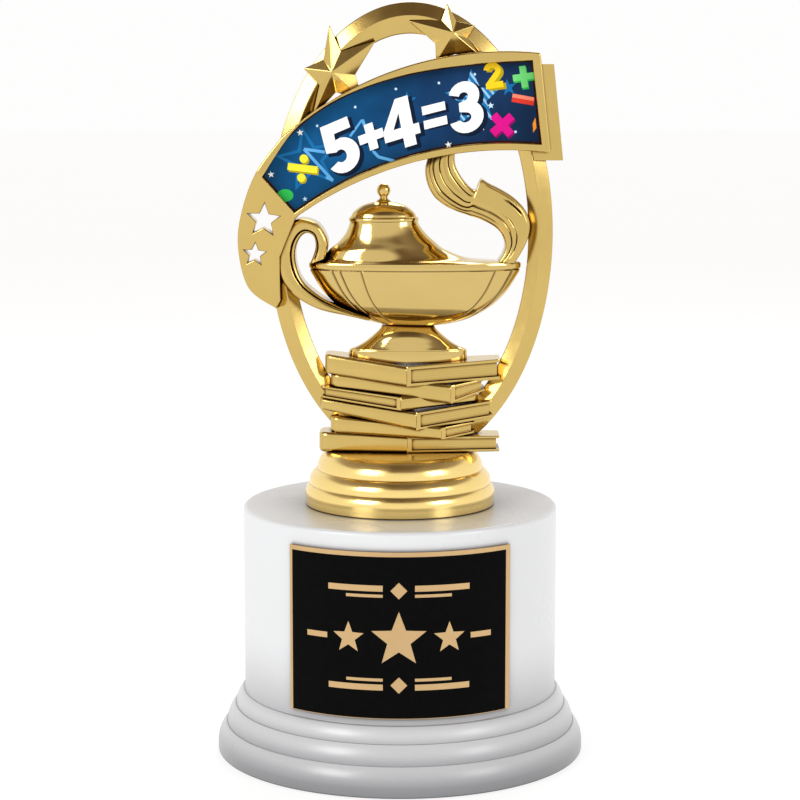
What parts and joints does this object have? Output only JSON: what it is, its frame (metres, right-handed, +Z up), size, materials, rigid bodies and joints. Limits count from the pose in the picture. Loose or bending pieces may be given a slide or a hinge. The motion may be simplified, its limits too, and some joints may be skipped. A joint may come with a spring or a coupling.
{
  "type": "trophy",
  "caption": "Award trophy with a gold lamp on a stack of books inside an arch with a curved printed ribbon, on a stepped round base with an engraving plate.",
  "frame": {"origin": "centre of the underside, on the surface the trophy stands on", "axes": "+Z up the trophy's axis, -Y towards the front, where the plate and the ribbon's print face, +X to the right as seen from the front"},
  "size_m": [0.1016, 0.1016, 0.2061],
  "materials": {
    "figure_gold": "gold metallised plastic, polished with satin fields",
    "riser_gold": "bright gold metallised plastic",
    "base_white": "glossy white",
    "plate_black": "black satin coat with a bare gold edge and ornament",
    "insert_print": "printed, satin",
    "tape": "double-sided adhesive tape",
    "zinc_steel": "zinc plated",
    "weight_iron": "rough, as cast",
    "cover_black": "matte",
    "felt": "felt"
  },
  "bodies": {
    "root": {"arch": "figure_gold", "ribbon": "figure_gold", "ribbon_fold": "figure_gold", "star_left": "figure_gold", "star_right": "figure_gold", "lamp_bowl": "figure_gold", "lamp_shoulder": "figure_gold", "lamp_lid": "figure_gold", "lamp_finial": "figure_gold", "lamp_foot": "figure_gold", "lamp_handle": "figure_gold", "lamp_flame": "figure_gold", "book_1": "figure_gold", "book_2": "figure_gold", "book_3": "figure_gold", "book_4": "figure_gold", "book_5": "figure_gold", "book_6": "figure_gold", "riser": "riser_gold", "base_shell": "base_white", "engraving_plate": "plate_black", "plate_tape": "tape", "insert_panel": "insert_print", "threaded_rod": "zinc_steel", "base_nut": "zinc_steel", "figure_nut": "zinc_steel", "flat_washer": "zinc_steel", "lock_washer": "zinc_steel", "weight_disc": "weight_iron", "bottom_cover": "cover_black", "felt_pad": "felt"}
  },
  "joints": []
}
